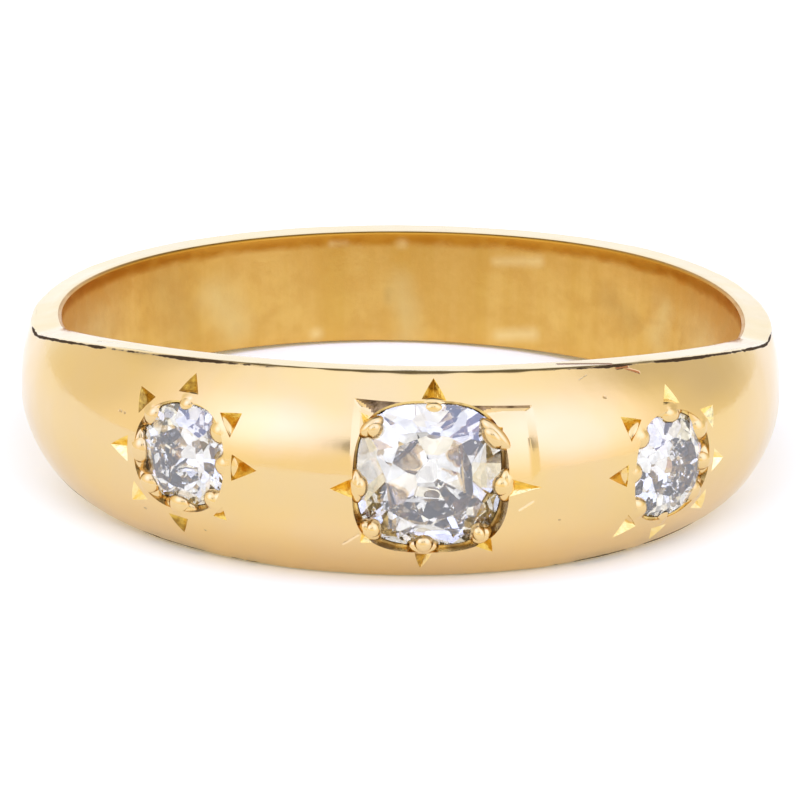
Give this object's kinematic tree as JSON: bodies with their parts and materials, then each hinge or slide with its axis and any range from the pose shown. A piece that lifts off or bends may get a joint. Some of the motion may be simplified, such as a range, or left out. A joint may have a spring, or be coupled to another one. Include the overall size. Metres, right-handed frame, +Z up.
{
  "type": "flush set gypsy ring",
  "caption": "Domed gold finger ring that tapers from a broad head to a narrow back, with stones set flush in a row across the head.",
  "frame": {"origin": "middle of the ring's footprint on the ground that it lies on", "axes": "+Z up from the ground, -Y towards the set head, +X to the right of the head as a viewer sees it"},
  "size_m": [0.019, 0.0202, 0.005],
  "materials": {
    "yellow_gold": "polished, lightly worn",
    "diamond": "clear, faceted"
  },
  "bodies": {
    "root": {"band": "yellow_gold", "centre_stone": "diamond", "left_stone": "diamond", "right_stone": "diamond"}
  },
  "joints": []
}
